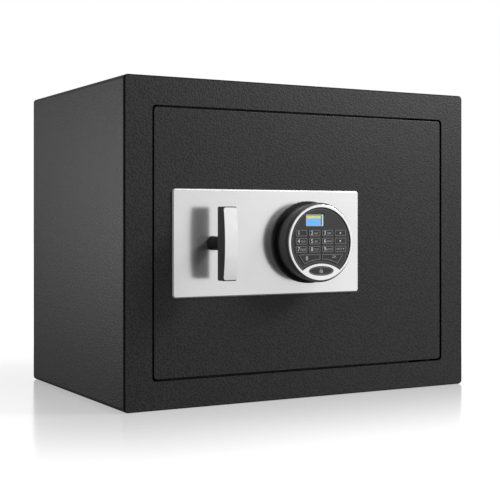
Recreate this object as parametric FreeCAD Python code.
"""In-room safe: a welded steel box with a flush steel door on concealed pivots.

Frame: millimetres, +X to the right as one faces the door, +Y from the door to the back, +Z up.
The origin is the centre of the box's underside. Depths inside are counted from the front face with at().
"""
import FreeCAD, Part
import math
import os

V = FreeCAD.Vector

# ---- box -------------------------------------------------------------------------------------
BODY_W, BODY_H, BODY_D = 380.0, 300.0, 250.0
WALL = 3.0                      # wrapped sides, top and floor
FRAME_T = 3.0                   # front frame plate
BACK_T = 3.0                    # back panel
BEND_R = 4.0                    # outside bend radius of the wrap
EDGE_R = 1.2                    # dressed weld edge round the front and the back
ANCHOR_R = 5.0                  # floor and wall fixing holes
FLOOR_ANCHOR_DX, FLOOR_ANCHOR_DY = 240.0, 120.0
FLOOR_ANCHOR_Y = 10.0           # centre of the floor pattern
BACK_ANCHOR_DX, BACK_ANCHOR_Z = 200.0, 200.0
MAT_T = 3.0                     # carpet mat on the floor
MAT_MARGIN = 2.0
MAT_HOLE_R = 13.0               # clearance in the mat round a fixing bolt's head

# ---- door opening and door plate ----------------------------------------------------------------
FRAME_SIDE, FRAME_END = 27.0, 26.0  # frame's width beside the opening, and above and below it
OPENING_R = 4.0
GAP_LATCH, GAP_HINGE, GAP_ENDS = 1.6, 2.4, 2.0
DOOR_T = 5.0
DOOR_EDGE_R = 0.5
STOP_T, STOP_LIP, STOP_REACH = 3.0, 6.0, 22.0
SEAT_GAP = 0.3                  # running gap between a moving piece and what it rests near
FIT = 0.02                      # radial gap of a fixed pin or screw in its hole
RUN = 0.06                      # radial gap of a shaft that turns or slides

# ---- concealed pivots -----------------------------------------------------------------------------
PIVOT_INSET = 14.0              # pivot axis to the door's hinge edge
PIVOT_DEPTH = 10.5              # pivot axis behind the front face
PIVOT_R = 4.0
LUG_HALF_W, LUG_T, LUG_H = 9.0, 12.0, 30.0
BRACKET_T, BRACKET_REACH, BRACKET_OVERLAP = 6.0, 21.0, 16.0
BRACKET_GAP = 1.3               # bracket past the opening's edge
WASHER_R = 7.5

# ---- boltwork ------------------------------------------------------------------------------------------
THROW = 16.0                    # travel of the locking bolts
BOLT_R, BOLT_END, BOLT_CHAMFER = 9.0, 36.0, 1.5  # radius, axis to the cover's end
BOLT_FRONT_GAP = 0.5            # bolt behind the door plate
STRIKE_T, STRIKE_SETBACK, STRIKE_PAST = 2.2, 3.0, 30.0  # last: past each bolt's axis
GUIDE_T, GUIDE_MARGIN, GUIDE_BACK = 3.7, 14.0, 2.5  # plate, past the bolts' ends, past their backs
BAR_FLANGE_T, BAR_WEB_T, BAR_WEB_GAP = 4.0, 3.0, 1.6  # last: web behind the spindle's end
BAR_FLANGE_MARGIN = 14.0        # flange past each bolt's axis
BAR_WEB_H = 98.0
BAR_LOCK_GAP = 3.0              # web edge to the lock case at rest
BOLT_SCREW_R, BOLT_SCREW_IN = 4.0, 12.0
SCREW_HEAD_K, SOCKET_K = 1.65, 0.8  # socket head's and socket's radius over the shank's
POST_R, SHOULDER_R, GUIDE_HEAD_R, GUIDE_HEAD_T = 6.0, 4.0, 7.0, 3.0
GUIDE_TAP_R, GUIDE_TAP_L = 2.5, 10.0
GUIDE_SLOT_DX, GUIDE_SLOT_DZ = 17.5, 35.0

# ---- cover over the boltwork ------------------------------------------------------------------------
COVER_GAP, COVER_T = 1.8, 1.2    # cover behind the lock, sheet
COVER_LEFT_GAP, COVER_RIGHT_GAP, COVER_END = 3.2, 40.6, 16.0
COVER_BEND_R, COVER_RIM_R = 3.0, 2.0
COVER_POST_R, COVER_POST_IN = 4.0, 12.0
COVER_SCREW_R, COVER_SCREW_HEAD_R, COVER_SCREW_HEAD_T, COVER_SCREW_L = 2.0, 4.0, 2.2, 9.0

# ---- face plate, handle --------------------------------------------------------------------------------
CONTROLS_DZ = -0.5              # handle's and keypad's axes from the opening's middle
PLATE_W, PLATE_H, PLATE_T = 201.7, 99.0, 1.6
PLATE_LEAD = 41.1               # plate's left edge to the handle's axis
PLATE_R, PLATE_BEVEL = 3.0, 1.1
HANDLE_IN = 58.9                # handle's axis from the door's latch edge
PAD_PITCH = 101.8               # handle's axis to the keypad's
HANDLE_REACH = 22.5             # back of the bar in front of the front face
BAR_W, BAR_H, BAR_END_T, BAR_CROWN = 13.4, 66.6, 10.5, 3.0
BAR_CORNER_R = 1.2
CAP_T, CAP_INSET_X, CAP_INSET_Z, CAP_R, CAP_GLUE = 1.0, 0.2, 0.9, 2.0, 0.1
STEM_R, SPINDLE_R, STEM_SOCKET = 6.4, 5.0, 6.0
BUSH_R, BUSH_FLANGE_R, BUSH_FLANGE_T = 8.5, 12.0, 2.0
CRANK_T, CRANK_GAP, CRANK_HUB_R, CRANK_EYE_R = 4.0, 8.0, 11.0, 6.5
CRANK_PIN_R, CRANK_PIN_SLACK = 3.0, 0.5
CLIP_R, CLIP_T = 8.0, 1.4

# ---- electronic lock on the door's inside ------------------------------------------------------------------
LOCK_W, LOCK_H, LOCK_WALL, LOCK_COVER_T = 62.0, 86.0, 2.5, 2.0
LOCK_BOLT_H, LOCK_BOLT_T, LOCK_BOLT_TAIL, LOCK_BOLT_GAP = 20.0, 8.0, 31.0, 1.5
SOLENOID_R, SOLENOID_L, SOLENOID_END_T = 9.0, 24.0, 2.0
LOCK_SCREW_R, LOCK_BOSS_R, LOCK_HEAD_GAP = 2.0, 4.5, 0.54
CABLE_R, CABLE_HOLE_R, LEAD_R = 2.5, 5.0, 1.8

# ---- batteries -----------------------------------------------------------------------------------------
CELL_R, CELL_L, CELL_NUB_R, CELL_NUB_L, CELLS = 7.2, 49.5, 2.7, 1.0, 4
HOLDER_WALL, HOLDER_GAP, HOLDER_FLANGE = 1.5, 0.4, 3.0
HOLDER_LOCK_GAP = 17.0          # holder to the lock case
LID_T, LID_LAP, LID_SKIRT = 1.6, 2.0, 1.0

# ---- keypad on the door's outside ----------------------------------------------------------------------
HOUSING_R, HOUSING_WALL, HOUSING_L = 36.4, 2.2, 17.4
BASE_LAP, BASE_T, BASE_EDGE_R = 2.85, 4.0, 1.2
BASE_BOSS_T = 2.0
PAD_SCREW_DX, PAD_SCREW_R, PAD_SCREW_HEAD_R, PAD_SCREW_HEAD_T = 42.0, 2.0, 3.6, 2.2
LIP_LAP, LIP_T, LIP_FLARE, LIP_EDGE = 1.2, 1.2, 0.9, 0.4
BEZEL_LAP, BEZEL_RIM, BEZEL_T, BEZEL_EDGE_R = -0.6, 2.5, 2.8, 0.6
PANEL_T, PANEL_SINK = 1.6, 0.8
ARCH_R, ARCH_TOP = 37.2, -19.8  # concave lower edge of the panel, from the keypad's axis
BADGE_A, BADGE_B, BADGE_Z, BADGE_SINK, BADGE_GAP = 13.8, 4.5, -26.7, 0.3, 0.1
KEY_W, KEY_H, KEY_R = 12.6, 6.0, 1.3
KEY_PITCH_X, KEY_PITCH_Z, KEY_TOP_Z = 14.5, 7.55, 8.9
KEY_GAP, KEY_PROUD, KEY_TRAVEL, KEY_FLANGE, KEY_FLANGE_T = 0.2, 0.5, 0.7, 0.5, 0.6
WIDE_KEY_TOP, WIDE_KEY_INNER, WIDE_KEY_ARCH = -11.0, 0.9, 3.9
WIDE_KEY_OUTER_TOP, WIDE_KEY_OUTER_TIP = (25.0, -11.0), (18.6, -20.0)
WIDE_KEY_R = 0.7
WINDOW = (-16.5, 4.0, 15.4, 27.5)  # display window: left, right, bottom, top from the axis
WINDOW_R = 0.6
LENS_T, LENS_SINK, LENS_GAP = 0.8, 0.5, 0.1
MODULE_MARGIN = 0.8
BOARD_T, BOARD_GAP, BOARD_KEY_GAP = 1.6, 0.6, 0.9

# ---- places worked out from the sizes above --------------------------------------------------------------
FRONT_Y = -BODY_D / 2
INNER_X, INNER_TOP, INNER_FLOOR = BODY_W / 2 - WALL, BODY_H - WALL, WALL
OPEN_X, OPEN_BOTTOM, OPEN_TOP = BODY_W / 2 - FRAME_SIDE, FRAME_END, BODY_H - FRAME_END
DOOR_LEFT, DOOR_RIGHT = -OPEN_X + GAP_LATCH, OPEN_X - GAP_HINGE
DOOR_BOTTOM, DOOR_TOP = OPEN_BOTTOM + GAP_ENDS, OPEN_TOP - GAP_ENDS
PIVOT_X = DOOR_RIGHT - PIVOT_INSET
BRACKET_TOP_Z = OPEN_TOP + BRACKET_GAP
BRACKET_LOW_Z = OPEN_BOTTOM - BRACKET_GAP - BRACKET_T

CONTROLS_Z = (OPEN_BOTTOM + OPEN_TOP) / 2 + CONTROLS_DZ
HANDLE_X = DOOR_LEFT + HANDLE_IN
PAD_X = HANDLE_X + PAD_PITCH
CRANK_PIN_OFFSET = THROW / 2    # the pin swings from 45 degrees one side of upright to 45 the other
CRANK_DEPTH = DOOR_T + BUSH_FLANGE_T + CRANK_GAP
SPINDLE_END = CRANK_DEPTH + CRANK_T + CLIP_T
WEB_DEPTH = SPINDLE_END + BAR_WEB_GAP
WEB_BACK = WEB_DEPTH + BAR_WEB_T
LOCK_BOLT_DEPTH = (WEB_DEPTH + WEB_BACK) / 2
LOCK_BACK = LOCK_BOLT_DEPTH + LOCK_BOLT_T / 2 + LOCK_BOLT_GAP

COVER_LEFT, COVER_RIGHT = DOOR_LEFT + COVER_LEFT_GAP, DOOR_RIGHT - COVER_RIGHT_GAP
COVER_BOTTOM, COVER_TOP = DOOR_BOTTOM + COVER_END, DOOR_TOP - COVER_END
COVER_BACK = LOCK_BACK + LOCK_COVER_T + COVER_GAP + COVER_T
COVER_POSTS = [(x, z) for x in (COVER_LEFT + COVER_POST_IN, COVER_RIGHT - COVER_POST_IN)
               for z in (COVER_BOTTOM + COVER_POST_IN, COVER_TOP - COVER_POST_IN)]

BOLT_DEPTH = DOOR_T + BOLT_FRONT_GAP + BOLT_R
BOLT_PITCH = COVER_TOP - COVER_BOTTOM - 2 * BOLT_END
BOLT_ZS = (CONTROLS_Z - BOLT_PITCH / 2, CONTROLS_Z + BOLT_PITCH / 2)
GUIDE_LEFT = COVER_LEFT + COVER_T + SEAT_GAP
GUIDE_RIGHT = GUIDE_LEFT + GUIDE_T
BAR_LEFT = GUIDE_RIGHT + THROW + SEAT_GAP
BAR_INNER = BAR_LEFT + BAR_FLANGE_T
BOLT_TIP = COVER_LEFT - SEAT_GAP
LOCK_LEFT, LOCK_RIGHT = PAD_X - LOCK_W / 2, PAD_X + LOCK_W / 2
BAR_RIGHT = LOCK_LEFT - BAR_LOCK_GAP - SEAT_GAP
GUIDE_SCREWS = [(HANDLE_X + GUIDE_SLOT_DX, CONTROLS_Z + s * GUIDE_SLOT_DZ) for s in (-1, 1)]

BASE_R, LIP_R, BEZEL_R = HOUSING_R + BASE_LAP, HOUSING_R + LIP_LAP, HOUSING_R + BEZEL_LAP
PANEL_R, BOARD_R = BEZEL_R - BEZEL_RIM, HOUSING_R - HOUSING_WALL - BOARD_GAP
BASE_FRONT = -PLATE_T - BASE_T
BOSS_FRONT = BASE_FRONT - BASE_BOSS_T
HOUSING_FRONT = BASE_FRONT - HOUSING_L
BEZEL_FRONT = HOUSING_FRONT - BEZEL_T
PANEL_FRONT = BEZEL_FRONT + PANEL_SINK
PANEL_BACK = PANEL_FRONT + PANEL_T
FLANGE_FRONT = PANEL_BACK + 0.1
FLANGE_BACK = FLANGE_FRONT + KEY_FLANGE_T
BOARD_FRONT = FLANGE_BACK + KEY_TRAVEL + BOARD_KEY_GAP
ARCH_Z = ARCH_TOP - ARCH_R      # centre of the arch below the keypad's axis

HOLDER_LEFT = LOCK_RIGHT + HOLDER_LOCK_GAP
HOLDER_W = CELL_L + CELL_NUB_L + 2 * (HOLDER_GAP + HOLDER_WALL)
HOLDER_H = 2 * CELL_R * CELLS + (CELLS + 1) * HOLDER_GAP + 2 * HOLDER_WALL
HOLDER_RIGHT = HOLDER_LEFT + HOLDER_W
HOLDER_BOTTOM, HOLDER_TOP = CONTROLS_Z - HOLDER_H / 2, CONTROLS_Z + HOLDER_H / 2
HOLDER_BACK = COVER_BACK - COVER_T
HOLDER_FRONT = HOLDER_BACK - 2 * CELL_R - HOLDER_GAP - HOLDER_WALL


def at(depth):
    """Y of a plane this far behind the front face; in front of it the depth is negative."""
    return FRONT_Y + depth


# ---- shapes ------------------------------------------------------------------------------------------
def block(x0, x1, d0, d1, z0, z1):
    return Part.makeBox(x1 - x0, d1 - d0, z1 - z0, V(x0, at(d0), z0))


def rod_x(x0, x1, depth, z, r):
    return Part.makeCylinder(r, x1 - x0, V(x0, at(depth), z), V(1, 0, 0))


def rod_y(x, z, r, d0, d1):
    return Part.makeCylinder(r, d1 - d0, V(x, at(d0), z), V(0, 1, 0))


def rod_z(x, depth, r, z0, z1):
    return Part.makeCylinder(r, z1 - z0, V(x, at(depth), z0), V(0, 0, 1))


def rounded(x0, x1, z0, z1, r, d0, d1):
    """Prism along Y with a rounded rectangle for its section."""
    prism = block(x0, x1, d0, d1, z0, z1)
    return prism.makeFillet(r, edges_along(prism, V(0, 1, 0)))


def edges_along(shape, direction):
    """Straight edges that run along a direction."""
    found = []
    for edge in shape.Edges:
        if isinstance(edge.Curve, Part.Line) and edge.Curve.Direction.cross(direction).Length < 1e-6:
            found.append(edge)
    return found


def edges_at_depth(shape, depth):
    """Edges that lie in the plane at this depth."""
    y = at(depth)
    return [e for e in shape.Edges if abs(e.BoundBox.YMin - y) < 1e-4 and abs(e.BoundBox.YMax - y) < 1e-4]


def ring(x, z, outer, inner, d0, d1):
    return rod_y(x, z, outer, d0, d1).cut(rod_y(x, z, inner, d0, d1))


def turned(profile, x, z):
    """Solid of revolution about a Y axis from (radius, depth) corners."""
    points = [V(x + r, at(d), z) for r, d in profile]
    face = Part.Face(Part.makePolygon(points + points[:1]))
    return face.revolve(V(x, at(0), z), V(0, 1, 0), 360)


def socket_screw(x, z, shank, head, head_t, d_seat, d_tip, outward):
    """Screw along Y. Its head stands on the seat, on the side that outward gives (-1 front, 1 back)."""
    d_head = sorted((d_seat, d_seat + outward * head_t))
    d_shank = sorted((d_seat, d_tip))
    socket = sorted((d_seat + outward * head_t, d_seat + outward * head_t * 0.4))
    screw = rod_y(x, z, head, *d_head).fuse(rod_y(x, z, shank, *d_shank)).removeSplitter()
    return screw.cut(hexagon(x, z, head * 0.5, *socket))


def hexagon(x, z, r, d0, d1):
    angles = [math.pi / 3 * k for k in range(6)]
    corners = [V(x + r * math.cos(a), at(d0), z + r * math.sin(a)) for a in angles]
    return Part.Face(Part.makePolygon(corners + corners[:1])).extrude(V(0, d1 - d0, 0))


# ---- box -----------------------------------------------------------------------------------------------
def outline(d0, d1):
    return rounded(-BODY_W / 2, BODY_W / 2, 0, BODY_H, BEND_R, d0, d1)


def floor_anchors():
    half_x, half_y = FLOOR_ANCHOR_DX / 2, FLOOR_ANCHOR_DY / 2
    return [(sx * half_x, FLOOR_ANCHOR_Y + sy * half_y) for sx in (-1, 1) for sy in (-1, 1)]


def body_shell():
    d0, d1 = FRAME_T, BODY_D - BACK_T
    inside = rounded(-INNER_X, INNER_X, INNER_FLOOR, INNER_TOP, BEND_R - WALL, d0, d1)
    shell = outline(d0, d1).cut(inside)
    for x, y in floor_anchors():
        shell = shell.cut(Part.makeCylinder(ANCHOR_R, WALL, V(x, y, 0)))
    return shell


def front_frame():
    frame = outline(0, FRAME_T)
    frame = frame.makeFillet(EDGE_R, edges_at_depth(frame, 0))
    return frame.cut(rounded(-OPEN_X, OPEN_X, OPEN_BOTTOM, OPEN_TOP, OPENING_R, 0, FRAME_T))


def back_panel():
    panel = outline(BODY_D - BACK_T, BODY_D)
    panel = panel.makeFillet(EDGE_R, edges_at_depth(panel, BODY_D))
    for side in (-1, 1):
        panel = panel.cut(rod_y(side * BACK_ANCHOR_DX / 2, BACK_ANCHOR_Z, ANCHOR_R, BODY_D - BACK_T, BODY_D))
    return panel


def door_stops():
    """Two angles behind the door's top and bottom edges, clear of the pivots."""
    left, right = DOOR_LEFT + STOP_LIP, PIVOT_X - BRACKET_OVERLAP - STOP_LIP
    d0 = DOOR_T + SEAT_GAP
    top = block(left, right, d0, d0 + STOP_T, OPEN_TOP - STOP_LIP, INNER_TOP)
    top = top.fuse(block(left, right, d0, d0 + STOP_REACH, INNER_TOP - STOP_T, INNER_TOP))
    low = block(left, right, d0, d0 + STOP_T, INNER_FLOOR, OPEN_BOTTOM + STOP_LIP)
    low = low.fuse(block(left, right, d0, d0 + STOP_REACH, INNER_FLOOR, INNER_FLOOR + STOP_T))
    return Part.makeCompound([top.removeSplitter(), low.removeSplitter()])


def strike_plate():
    return block(-INNER_X, -OPEN_X - STRIKE_SETBACK, FRAME_T, FRAME_T + STRIKE_T,
                 BOLT_ZS[0] - STRIKE_PAST, BOLT_ZS[1] + STRIKE_PAST)


def hinge_brackets():
    """A plate above and one below the opening, each bored for a pivot pin."""
    plates, left, back = [], PIVOT_X - BRACKET_OVERLAP, FRAME_T + BRACKET_REACH
    for low in (BRACKET_LOW_Z, BRACKET_TOP_Z):
        plate = block(left, INNER_X, FRAME_T, back, low, low + BRACKET_T)
        plates.append(plate.cut(rod_z(PIVOT_X, PIVOT_DEPTH, PIVOT_R + RUN, low, low + BRACKET_T)))
    return Part.makeCompound(plates)


def thrust_washer():
    low, high = BRACKET_LOW_Z + BRACKET_T, DOOR_BOTTOM - SEAT_GAP
    washer = rod_z(PIVOT_X, PIVOT_DEPTH, WASHER_R, low, high)
    return washer.cut(rod_z(PIVOT_X, PIVOT_DEPTH, PIVOT_R + RUN, low, high))


def floor_mat():
    front = DOOR_T + SEAT_GAP + STOP_REACH + MAT_MARGIN
    half, back = INNER_X - MAT_MARGIN, BODY_D - BACK_T - MAT_MARGIN
    mat = block(-half, half, front, back, INNER_FLOOR, INNER_FLOOR + MAT_T)
    for x, y in floor_anchors():
        mat = mat.cut(Part.makeCylinder(MAT_HOLE_R, MAT_T, V(x, y, INNER_FLOOR)))
    return mat


# ---- door ------------------------------------------------------------------------------------------------
def pad_screws():
    return [(PAD_X + side * PAD_SCREW_DX / 2, CONTROLS_Z) for side in (-1, 1)]


def door_plate():
    plate = rounded(DOOR_LEFT, DOOR_RIGHT, DOOR_BOTTOM, DOOR_TOP, OPENING_R - 1, 0, DOOR_T)
    plate = plate.makeFillet(DOOR_EDGE_R, edges_at_depth(plate, 0))
    plate = plate.cut(rod_y(HANDLE_X, CONTROLS_Z, BUSH_R + FIT, 0, DOOR_T))
    plate = plate.cut(rod_y(PAD_X, CONTROLS_Z, CABLE_HOLE_R, 0, DOOR_T))
    for x, z in pad_screws():
        plate = plate.cut(rod_y(x, z, PAD_SCREW_R + FIT, 0, DOOR_T))
    return plate


def face_plate():
    z0, z1 = CONTROLS_Z - PLATE_H / 2, CONTROLS_Z + PLATE_H / 2
    left = HANDLE_X - PLATE_LEAD
    plate = rounded(left, left + PLATE_W, z0, z1, PLATE_R, -PLATE_T, 0)
    plate = plate.makeChamfer(PLATE_BEVEL, edges_at_depth(plate, -PLATE_T))
    plate = plate.cut(rod_y(HANDLE_X, CONTROLS_Z, STEM_R + SEAT_GAP, -PLATE_T, 0))
    plate = plate.cut(rod_y(PAD_X, CONTROLS_Z, CABLE_HOLE_R, -PLATE_T, 0))
    for x, z in pad_screws():
        plate = plate.cut(rod_y(x, z, PAD_SCREW_R + SEAT_GAP, -PLATE_T, 0))
    return plate


def lug_heights():
    return ((DOOR_BOTTOM, DOOR_BOTTOM + LUG_H), (DOOR_TOP - LUG_H, DOOR_TOP))


def hinge_lugs():
    lugs = []
    for low, high in lug_heights():
        lug = block(PIVOT_X - LUG_HALF_W, PIVOT_X + LUG_HALF_W, DOOR_T, DOOR_T + LUG_T, low, high)
        lug = lug.makeFillet(LUG_HALF_W / 3, [e for e in edges_along(lug, V(0, 0, 1))
                                              if abs(e.CenterOfMass.y - at(DOOR_T + LUG_T)) < 1e-4])
        lugs.append(lug.cut(rod_z(PIVOT_X, PIVOT_DEPTH, PIVOT_R + FIT, low, high)))
    return Part.makeCompound(lugs)


def hinge_pins():
    (low0, low1), (top0, top1) = lug_heights()
    lower = rod_z(PIVOT_X, PIVOT_DEPTH, PIVOT_R, BRACKET_LOW_Z, low1)
    upper = rod_z(PIVOT_X, PIVOT_DEPTH, PIVOT_R, top0, BRACKET_TOP_Z + BRACKET_T)
    return Part.makeCompound([lower, upper])


def bolt_guide():
    """Plate welded on edge to the door, bored for the locking bolts."""
    low, high = BOLT_ZS[0] - BOLT_R - GUIDE_MARGIN, BOLT_ZS[1] + BOLT_R + GUIDE_MARGIN
    guide = block(GUIDE_LEFT, GUIDE_RIGHT, DOOR_T, BOLT_DEPTH + BOLT_R + GUIDE_BACK, low, high)
    for z in BOLT_ZS:
        guide = guide.cut(rod_x(GUIDE_LEFT, GUIDE_RIGHT, BOLT_DEPTH, z, BOLT_R + RUN))
    return guide


def guide_posts():
    posts, top = [], WEB_DEPTH - SEAT_GAP
    for x, z in GUIDE_SCREWS:
        posts.append(ring(x, z, POST_R, GUIDE_TAP_R + FIT, top - GUIDE_TAP_L - FIT, top))
    feet = [rod_y(x, z, POST_R, DOOR_T, top - GUIDE_TAP_L - FIT) for x, z in GUIDE_SCREWS]
    return Part.makeCompound([post.fuse(foot).removeSplitter() for post, foot in zip(posts, feet)])


def guide_screws():
    """Shoulder screws in the posts; the bolt bar slides between post and head."""
    seat, under_head = WEB_DEPTH - SEAT_GAP, WEB_BACK + SEAT_GAP
    screws = []
    for x, z in GUIDE_SCREWS:
        screw = socket_screw(x, z, SHOULDER_R, GUIDE_HEAD_R, GUIDE_HEAD_T, under_head, seat, 1)
        screws.append(screw.fuse(rod_y(x, z, GUIDE_TAP_R, seat - GUIDE_TAP_L, seat)).removeSplitter())
    return Part.makeCompound(screws)


def cover_posts():
    posts = []
    for x, z in COVER_POSTS:
        post = rod_y(x, z, COVER_POST_R, DOOR_T, COVER_BACK - COVER_T)
        tap = rod_y(x, z, COVER_SCREW_R + FIT, COVER_BACK - COVER_SCREW_L - FIT, COVER_BACK - COVER_T)
        posts.append(post.cut(tap))
    return Part.makeCompound(posts)


def cover_screws():
    return Part.makeCompound([
        socket_screw(x, z, COVER_SCREW_R, COVER_SCREW_HEAD_R, COVER_SCREW_HEAD_T, COVER_BACK,
                     COVER_BACK - COVER_SCREW_L, 1) for x, z in COVER_POSTS])


def holder_mouth(gap):
    """The holder's inside outline, grown outwards by gap: left, right, bottom, top."""
    grow = gap - HOLDER_WALL
    return HOLDER_LEFT - grow, HOLDER_RIGHT + grow, HOLDER_BOTTOM - grow, HOLDER_TOP + grow


def door_cover():
    cover = rounded(COVER_LEFT, COVER_RIGHT, COVER_BOTTOM, COVER_TOP, COVER_BEND_R, DOOR_T, COVER_BACK)
    cover = cover.makeFillet(COVER_RIM_R, edges_at_depth(cover, COVER_BACK))
    hollow = rounded(COVER_LEFT + COVER_T, COVER_RIGHT - COVER_T, COVER_BOTTOM + COVER_T, COVER_TOP - COVER_T,
                     COVER_BEND_R - COVER_T, DOOR_T, COVER_BACK - COVER_T)
    hollow = hollow.makeFillet(COVER_RIM_R - COVER_T, edges_at_depth(hollow, COVER_BACK - COVER_T))
    cover = cover.cut(hollow)
    for z in BOLT_ZS:
        cover = cover.cut(rod_x(COVER_LEFT, COVER_LEFT + COVER_T, BOLT_DEPTH, z, BOLT_R + 2 * SEAT_GAP))
    for x, z in COVER_POSTS:
        cover = cover.cut(rod_y(x, z, COVER_SCREW_R + SEAT_GAP, COVER_BACK - COVER_T, COVER_BACK))
    x0, x1, z0, z1 = holder_mouth(0)
    return cover.cut(block(x0, x1, COVER_BACK - COVER_T, COVER_BACK, z0, z1))


def battery_holder():
    """Open tray behind the cover's battery opening, with a flange on the cover's inner face."""
    tray = block(HOLDER_LEFT, HOLDER_RIGHT, HOLDER_FRONT, HOLDER_BACK, HOLDER_BOTTOM, HOLDER_TOP)
    x0, x1, z0, z1 = holder_mouth(HOLDER_WALL + HOLDER_FLANGE)
    flange = block(x0, x1, HOLDER_BACK - HOLDER_WALL, HOLDER_BACK, z0, z1)
    x0, x1, z0, z1 = holder_mouth(0)
    hollow = block(x0, x1, HOLDER_FRONT + HOLDER_WALL, HOLDER_BACK, z0, z1)
    return tray.fuse(flange).removeSplitter().cut(hollow)


def battery_cells():
    depth = HOLDER_FRONT + HOLDER_WALL + HOLDER_GAP / 2 + CELL_R
    left = HOLDER_LEFT + HOLDER_WALL + HOLDER_GAP
    cells = []
    for i in range(CELLS):
        z = HOLDER_BOTTOM + HOLDER_WALL + HOLDER_GAP + CELL_R + i * (2 * CELL_R + HOLDER_GAP)
        if i % 2:
            body_x, nub_x = left + CELL_NUB_L, left
        else:
            body_x, nub_x = left, left + CELL_L
        can = rod_x(body_x, body_x + CELL_L, depth, z, CELL_R)
        can = can.makeFillet(0.6, [e for e in can.Edges if isinstance(e.Curve, Part.Circle)])
        cells.append(can.fuse(rod_x(nub_x, nub_x + CELL_NUB_L, depth, z, CELL_NUB_R)))
    return Part.makeCompound(cells)


def battery_lid():
    x0, x1, z0, z1 = holder_mouth(LID_LAP)
    lid = rounded(x0, x1, z0, z1, LID_LAP, COVER_BACK + 0.1, COVER_BACK + 0.1 + LID_T)
    lid = lid.makeFillet(LID_T / 3, edges_at_depth(lid, COVER_BACK + 0.1 + LID_T))
    x0, x1, z0, z1 = holder_mouth(-SEAT_GAP)
    skirt = block(x0, x1, COVER_BACK - LID_SKIRT, COVER_BACK + 0.1, z0, z1)
    hollow = block(x0 + LID_T, x1 - LID_T, COVER_BACK - LID_SKIRT, COVER_BACK + 0.1, z0 + LID_T, z1 - LID_T)
    return lid.fuse(skirt.cut(hollow)).removeSplitter()


# ---- electronic lock ------------------------------------------------------------------------------------
def lock_screw_places():
    half_w, half_h = LOCK_W / 2 - LOCK_BOSS_R - LOCK_WALL / 2, LOCK_H / 2 - LOCK_BOSS_R - LOCK_WALL / 2
    return [(PAD_X + sx * half_w, CONTROLS_Z + sz * half_h) for sx in (-1, 1) for sz in (-1, 1)]


def lock_bolt_depths():
    return LOCK_BOLT_DEPTH - LOCK_BOLT_T / 2, LOCK_BOLT_DEPTH + LOCK_BOLT_T / 2


def lock_case():
    z0, z1 = CONTROLS_Z - LOCK_H / 2, CONTROLS_Z + LOCK_H / 2
    case = rounded(LOCK_LEFT, LOCK_RIGHT, z0, z1, LOCK_WALL, DOOR_T, LOCK_BACK)
    hollow = block(LOCK_LEFT + LOCK_WALL, LOCK_RIGHT - LOCK_WALL, DOOR_T + LOCK_WALL, LOCK_BACK,
                   z0 + LOCK_WALL, z1 - LOCK_WALL)
    case = case.cut(hollow)
    for x, z in lock_screw_places():
        case = case.fuse(rod_y(x, z, LOCK_BOSS_R, DOOR_T + LOCK_WALL, LOCK_BACK))
        case = case.cut(rod_y(x, z, LOCK_SCREW_R + FIT, DOOR_T + LOCK_WALL, LOCK_BACK))
    d0, d1 = lock_bolt_depths()
    slot = block(LOCK_LEFT, LOCK_LEFT + LOCK_WALL, d0 - SEAT_GAP, LOCK_BACK,
                 CONTROLS_Z - LOCK_BOLT_H / 2 - SEAT_GAP, CONTROLS_Z + LOCK_BOLT_H / 2 + SEAT_GAP)
    case = case.cut(slot).cut(rod_y(PAD_X, CONTROLS_Z, CABLE_HOLE_R, DOOR_T, DOOR_T + LOCK_WALL))
    return case.removeSplitter()


def lock_cover():
    z0, z1 = CONTROLS_Z - LOCK_H / 2, CONTROLS_Z + LOCK_H / 2
    back = LOCK_BACK + LOCK_COVER_T
    cover = rounded(LOCK_LEFT, LOCK_RIGHT, z0, z1, LOCK_WALL, LOCK_BACK, back)
    for x, z in lock_screw_places():
        cover = cover.cut(rod_y(x, z, LOCK_SCREW_R + SEAT_GAP, LOCK_BACK, back))
    return cover


def lock_screws():
    seat, tip = LOCK_BACK + LOCK_COVER_T, DOOR_T + LOCK_WALL + LOCK_BOSS_R
    head_t = COVER_GAP - LOCK_HEAD_GAP
    return Part.makeCompound([
        socket_screw(x, z, LOCK_SCREW_R, LOCK_SCREW_R * SCREW_HEAD_K, head_t, seat, tip, 1)
        for x, z in lock_screw_places()])


def lock_solenoid():
    """Release solenoid, upright over the lock bolt's tail, with a square plate at each end."""
    depth = DOOR_T + LOCK_WALL + SOLENOID_R
    low = CONTROLS_Z + LOCK_BOLT_H / 2 + 4 * SEAT_GAP
    can = rod_z(PAD_X, depth, SOLENOID_R, low, low + SOLENOID_L)
    for z in (low, low + SOLENOID_L - SOLENOID_END_T):
        can = can.fuse(block(PAD_X - SOLENOID_R, PAD_X + SOLENOID_R, depth - SOLENOID_R, depth + SOLENOID_R,
                             z, z + SOLENOID_END_T))
    return can.removeSplitter()


def lock_bolt():
    """Spring bolt of the lock. The bolt bar holds it in; it follows the bar out and blocks its way back."""
    d0, d1 = lock_bolt_depths()
    tip = BAR_RIGHT + SEAT_GAP
    bolt = block(tip, LOCK_LEFT + LOCK_BOLT_TAIL, d0, d1,
                 CONTROLS_Z - LOCK_BOLT_H / 2, CONTROLS_Z + LOCK_BOLT_H / 2)
    nose = [e for e in edges_along(bolt, V(0, 1, 0)) if abs(e.CenterOfMass.x - tip) < 1e-4]
    return bolt.makeFillet(LOCK_BOLT_T / 4, nose)


def wiring():
    cable = rod_y(PAD_X, CONTROLS_Z, CABLE_R, BOARD_FRONT + BOARD_T, DOOR_T + LOCK_WALL + CABLE_R)
    depth = (HOLDER_FRONT + HOLDER_BACK) / 2
    lead = rod_x(LOCK_RIGHT, HOLDER_LEFT, depth, CONTROLS_Z, LEAD_R)
    return Part.makeCompound([cable, lead])


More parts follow.
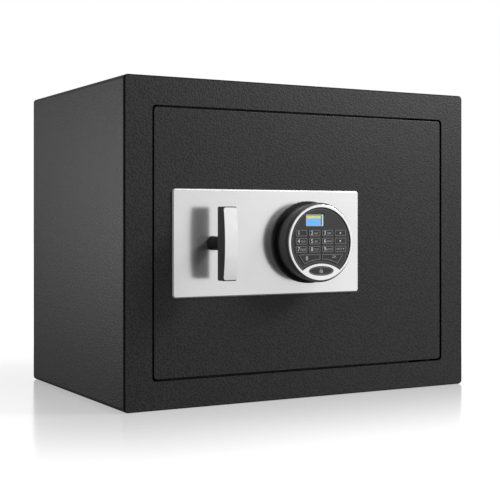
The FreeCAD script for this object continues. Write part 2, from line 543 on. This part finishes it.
# ---- bolt bar --------------------------------------------------------------------------------------------
def bolt_bar():
    """Flange that carries the bolts, and a web with a crank slot and two guide slots."""
    low, high = BOLT_ZS[0] - BAR_FLANGE_MARGIN, BOLT_ZS[1] + BAR_FLANGE_MARGIN
    flange = block(BAR_LEFT, BAR_INNER, DOOR_T + 2 * BOLT_FRONT_GAP, WEB_BACK, low, high)
    web = block(BAR_INNER, BAR_RIGHT, WEB_DEPTH, WEB_BACK,
                CONTROLS_Z - BAR_WEB_H / 2, CONTROLS_Z + BAR_WEB_H / 2)
    bar = flange.fuse(web).removeSplitter()
    for z in BOLT_ZS:
        bar = bar.cut(rod_x(BAR_LEFT, BAR_INNER, BOLT_DEPTH, z, BOLT_SCREW_R + FIT))
    half = CRANK_PIN_R + CRANK_PIN_SLACK
    pin_x = HANDLE_X + CRANK_PIN_OFFSET
    pin_high = CONTROLS_Z + CRANK_PIN_OFFSET * math.sqrt(2)
    bar = bar.cut(rounded(pin_x - half, pin_x + half, CONTROLS_Z + CRANK_PIN_OFFSET - half, pin_high + half,
                          half - 0.01, WEB_DEPTH, WEB_BACK))
    reach = SHOULDER_R + SEAT_GAP
    for x, z in GUIDE_SCREWS:
        bar = bar.cut(rounded(x - reach, x + THROW + reach, z - reach, z + reach, reach - 0.01,
                              WEB_DEPTH, WEB_BACK))
    return bar


def locking_bolts():
    bolts = []
    for z in BOLT_ZS:
        bolt = rod_x(BOLT_TIP, BAR_LEFT, BOLT_DEPTH, z, BOLT_R)
        rims = [e for e in bolt.Edges if isinstance(e.Curve, Part.Circle)]
        bolt = bolt.makeChamfer(BOLT_CHAMFER, [e for e in rims if abs(e.CenterOfMass.x - BOLT_TIP) < 1e-4])
        bolts.append(bolt.cut(rod_x(BAR_LEFT - BOLT_SCREW_IN, BAR_LEFT, BOLT_DEPTH, z, BOLT_SCREW_R + FIT)))
    return Part.makeCompound(bolts)


def bolt_screws():
    screws, head_end = [], BAR_INNER + 2 * BOLT_SCREW_R
    for z in BOLT_ZS:
        shank = rod_x(BAR_LEFT - BOLT_SCREW_IN + FIT, BAR_INNER, BOLT_DEPTH, z, BOLT_SCREW_R)
        head = rod_x(BAR_INNER, head_end, BOLT_DEPTH, z, BOLT_SCREW_R * SCREW_HEAD_K)
        socket = rod_x(BAR_INNER + BOLT_SCREW_R, head_end, BOLT_DEPTH, z, BOLT_SCREW_R * SOCKET_K)
        screws.append(shank.fuse(head).removeSplitter().cut(socket))
    return Part.makeCompound(screws)


# ---- handle ----------------------------------------------------------------------------------------------
def crown_cylinder(extra):
    """Cylinder along X whose skin is the bar's crowned front, grown by extra."""
    radius = (BAR_H ** 2 / 4 + BAR_CROWN ** 2) / (2 * BAR_CROWN)
    centre = -HANDLE_REACH - BAR_END_T - BAR_CROWN + radius
    return rod_x(HANDLE_X - BAR_W, HANDLE_X + BAR_W, centre, CONTROLS_Z, radius + extra)


def handle_bar():
    deepest = HANDLE_REACH + BAR_END_T + BAR_CROWN
    bar = rounded(HANDLE_X - BAR_W / 2, HANDLE_X + BAR_W / 2, CONTROLS_Z - BAR_H / 2, CONTROLS_Z + BAR_H / 2,
                  BAR_CORNER_R, -deepest, -HANDLE_REACH)
    bar = bar.makeFillet(BAR_CORNER_R / 2, edges_at_depth(bar, -HANDLE_REACH))
    bar = bar.common(crown_cylinder(0))
    return bar.cut(rod_y(HANDLE_X, CONTROLS_Z, STEM_R + FIT, -HANDLE_REACH - STEM_SOCKET, -HANDLE_REACH))


def handle_face():
    half_w, half_h = BAR_W / 2 - CAP_INSET_X, BAR_H / 2 - CAP_INSET_Z
    deepest = HANDLE_REACH + BAR_END_T + BAR_CROWN + CAP_GLUE + CAP_T
    cap = rounded(HANDLE_X - half_w, HANDLE_X + half_w, CONTROLS_Z - half_h, CONTROLS_Z + half_h, CAP_R,
                  -deepest, -HANDLE_REACH)
    return cap.common(crown_cylinder(CAP_T + CAP_GLUE).cut(crown_cylinder(CAP_GLUE)))


def handle_spindle():
    stem = rod_y(HANDLE_X, CONTROLS_Z, STEM_R, -HANDLE_REACH - STEM_SOCKET + FIT, CRANK_DEPTH)
    return stem.fuse(rod_y(HANDLE_X, CONTROLS_Z, SPINDLE_R, CRANK_DEPTH, SPINDLE_END)).removeSplitter()


def handle_bush():
    back, bore = DOOR_T + BUSH_FLANGE_T, STEM_R + RUN
    sleeve = ring(HANDLE_X, CONTROLS_Z, BUSH_R, bore, 0, DOOR_T)
    return sleeve.fuse(ring(HANDLE_X, CONTROLS_Z, BUSH_FLANGE_R, bore, DOOR_T, back)).removeSplitter()


def crank():
    """Crank on the spindle's inner end, with the pin that drives the bolt bar riveted in."""
    d0, d1 = CRANK_DEPTH, CRANK_DEPTH + CRANK_T
    pin_x, pin_z = HANDLE_X + CRANK_PIN_OFFSET, CONTROLS_Z + CRANK_PIN_OFFSET
    arm = rod_y(HANDLE_X, CONTROLS_Z, CRANK_HUB_R, d0, d1).fuse(rod_y(pin_x, pin_z, CRANK_EYE_R, d0, d1))
    arm = arm.fuse(rod_y(pin_x, pin_z, CRANK_PIN_R, d0, WEB_BACK + CRANK_PIN_R / 2)).removeSplitter()
    return arm.cut(rod_y(HANDLE_X, CONTROLS_Z, SPINDLE_R + FIT, d0, d1))


def spindle_clip():
    d0, d1 = CRANK_DEPTH + CRANK_T, SPINDLE_END
    clip = ring(HANDLE_X, CONTROLS_Z, CLIP_R, SPINDLE_R + FIT, d0, d1)
    return clip.cut(block(HANDLE_X - SPINDLE_R / 2, HANDLE_X + SPINDLE_R / 2, d0, d1,
                          CONTROLS_Z - CLIP_R, CONTROLS_Z - SPINDLE_R / 2))


# ---- keypad ----------------------------------------------------------------------------------------------
def keypad_base():
    base = rod_y(PAD_X, CONTROLS_Z, BASE_R, BASE_FRONT, -PLATE_T)
    base = base.makeFillet(BASE_EDGE_R, edges_at_depth(base, BASE_FRONT))
    base = base.fuse(rod_y(PAD_X, CONTROLS_Z, HOUSING_R - HOUSING_WALL - SEAT_GAP, BOSS_FRONT, BASE_FRONT))
    base = base.removeSplitter().cut(rod_y(PAD_X, CONTROLS_Z, CABLE_HOLE_R, BOSS_FRONT, -PLATE_T))
    for x, z in pad_screws():
        base = base.cut(rod_y(x, z, PAD_SCREW_R + SEAT_GAP, BOSS_FRONT, -PLATE_T))
    return base


def keypad_screws():
    return Part.makeCompound([
        socket_screw(x, z, PAD_SCREW_R, PAD_SCREW_HEAD_R, PAD_SCREW_HEAD_T, BOSS_FRONT, DOOR_T - FIT, -1)
        for x, z in pad_screws()])


def keypad_housing():
    """Round shell with a flared lip under the bezel."""
    inner, lip_back = HOUSING_R - HOUSING_WALL, HOUSING_FRONT + LIP_T
    return turned([(inner, BASE_FRONT), (HOUSING_R, BASE_FRONT), (HOUSING_R, lip_back + LIP_FLARE),
                   (LIP_R, lip_back), (LIP_R, HOUSING_FRONT + LIP_EDGE), (LIP_R - LIP_EDGE, HOUSING_FRONT),
                   (inner, HOUSING_FRONT)], PAD_X, CONTROLS_Z)


def panel_outline(grow, d0, d1):
    """The panel's shape: a disc with its foot cut away along the arch."""
    disc = rod_y(PAD_X, CONTROLS_Z, PANEL_R + grow, d0, d1)
    return disc.cut(rod_y(PAD_X, CONTROLS_Z + ARCH_Z, ARCH_R - grow, d0, d1))


def badge_oval(gap, d0, d1):
    centre = V(PAD_X, at(d0), CONTROLS_Z + BADGE_Z)
    oval = Part.Ellipse(centre + V(BADGE_A + gap, 0, 0), centre + V(0, 0, BADGE_B + gap), centre)
    return Part.Face(Part.Wire(oval.toShape())).extrude(V(0, d1 - d0, 0))


def keypad_bezel():
    bezel = rod_y(PAD_X, CONTROLS_Z, BEZEL_R, BEZEL_FRONT, HOUSING_FRONT)
    bezel = bezel.makeFillet(BEZEL_EDGE_R, edges_at_depth(bezel, BEZEL_FRONT))
    bezel = bezel.cut(panel_outline(LENS_GAP, BEZEL_FRONT, HOUSING_FRONT))
    return bezel.cut(badge_oval(BADGE_GAP, BEZEL_FRONT, HOUSING_FRONT))


def key_outline(column, row, grow, d0, d1):
    x, z = PAD_X + (column - 1.5) * KEY_PITCH_X, CONTROLS_Z + KEY_TOP_Z - row * KEY_PITCH_Z
    return rounded(x - KEY_W / 2 - grow, x + KEY_W / 2 + grow, z - KEY_H / 2 - grow, z + KEY_H / 2 + grow,
                   KEY_R, d0, d1)


def wide_key_outline(side, grow, d0, d1):
    """One of the two keys in the bottom row, between the top line, the slanted side and the arch."""
    (top_x, top_z), (tip_x, tip_z) = WIDE_KEY_OUTER_TOP, WIDE_KEY_OUTER_TIP
    slope = (top_x - tip_x) / (top_z - tip_z)
    shift = grow * math.hypot(1, slope)

    def outer_x(z):
        return top_x + (z - top_z) * slope + shift

    top, foot, inner = WIDE_KEY_TOP + grow, tip_z - KEY_H, WIDE_KEY_INNER - grow
    corners = [(inner, top), (outer_x(top), top), (outer_x(foot), foot), (inner, foot)]
    points = [V(PAD_X + side * x, at(d0), CONTROLS_Z + z) for x, z in corners]
    key = Part.Face(Part.makePolygon(points + points[:1])).extrude(V(0, d1 - d0, 0))
    key = key.cut(rod_y(PAD_X, CONTROLS_Z + ARCH_Z, ARCH_R + WIDE_KEY_ARCH - grow, d0, d1))
    return key.makeFillet(WIDE_KEY_R, edges_along(key, V(0, 1, 0)))


def window_outline(grow, d0, d1):
    left, right, low, high = WINDOW
    return rounded(PAD_X + left - grow, PAD_X + right + grow,
                   CONTROLS_Z + low - grow, CONTROLS_Z + high + grow, WINDOW_R, d0, d1)


def key_outlines():
    """Name of each key, with the function that makes its outline."""
    names = (("key_1", "key_2", "key_3", "key_up"), ("key_4", "key_5", "key_6", "key_down"),
             ("key_7", "key_8", "key_9", "key_back"))
    keys = {}
    for row, line in enumerate(names):
        for column, name in enumerate(line):
            keys[name] = lambda g, d0, d1, c=column, r=row: key_outline(c, r, g, d0, d1)
    keys["key_0"] = lambda g, d0, d1: wide_key_outline(-1, g, d0, d1)
    keys["key_enter"] = lambda g, d0, d1: wide_key_outline(1, g, d0, d1)
    return keys


def keypad_panel():
    panel = panel_outline(0, PANEL_FRONT, PANEL_BACK)
    panel = panel.cut(window_outline(0, PANEL_FRONT, PANEL_BACK))
    for outline_of in key_outlines().values():
        panel = panel.cut(outline_of(KEY_GAP, PANEL_FRONT, PANEL_BACK))
    return panel


def key_cap(outline_of):
    """Cap that stands proud of the panel, on a flange that keeps it behind the panel."""
    cap = outline_of(0, PANEL_FRONT - KEY_PROUD, FLANGE_FRONT)
    return cap.fuse(outline_of(KEY_FLANGE, FLANGE_FRONT, FLANGE_BACK)).removeSplitter()


def display_lens():
    return window_outline(-LENS_GAP, PANEL_FRONT + LENS_SINK, PANEL_FRONT + LENS_SINK + LENS_T)


def display_module():
    left, right, low, high = WINDOW
    return block(PAD_X + left - MODULE_MARGIN, PAD_X + right + MODULE_MARGIN, FLANGE_FRONT, BOARD_FRONT,
                 CONTROLS_Z + low - MODULE_MARGIN, CONTROLS_Z + high + MODULE_MARGIN)


def circuit_board():
    return rod_y(PAD_X, CONTROLS_Z, BOARD_R, BOARD_FRONT, BOARD_FRONT + BOARD_T)


def keypad_badge():
    return badge_oval(0, BEZEL_FRONT + BADGE_SINK, HOUSING_FRONT)


PARTS = [
    body_shell, front_frame, back_panel, door_stops, strike_plate, hinge_brackets, thrust_washer, floor_mat,
    door_plate, face_plate, hinge_lugs, hinge_pins, bolt_guide, guide_posts, guide_screws,
    cover_posts, cover_screws, door_cover, battery_holder, battery_cells, battery_lid,
    lock_case, lock_cover, lock_screws, lock_solenoid, lock_bolt, wiring,
    bolt_bar, locking_bolts, bolt_screws,
    handle_bar, handle_face, handle_spindle, handle_bush, crank, spindle_clip,
    keypad_base, keypad_screws, keypad_housing, keypad_bezel, keypad_panel, display_lens, display_module,
    circuit_board, keypad_badge,
]


def main():
    os.makedirs("parts", exist_ok=True)
    shapes = {make.__name__: make() for make in PARTS}
    shapes.update({name: key_cap(outline_of) for name, outline_of in key_outlines().items()})
    for name, shape in shapes.items():
        assert shape.isValid() and shape.Solids and all(s.isClosed() for s in shape.Solids), name
        shape.exportStep(os.path.join("parts", name + ".step"))
        print(f"{name}: {len(shape.Solids)} solid(s), {shape.Volume:.1f} mm3")


main()
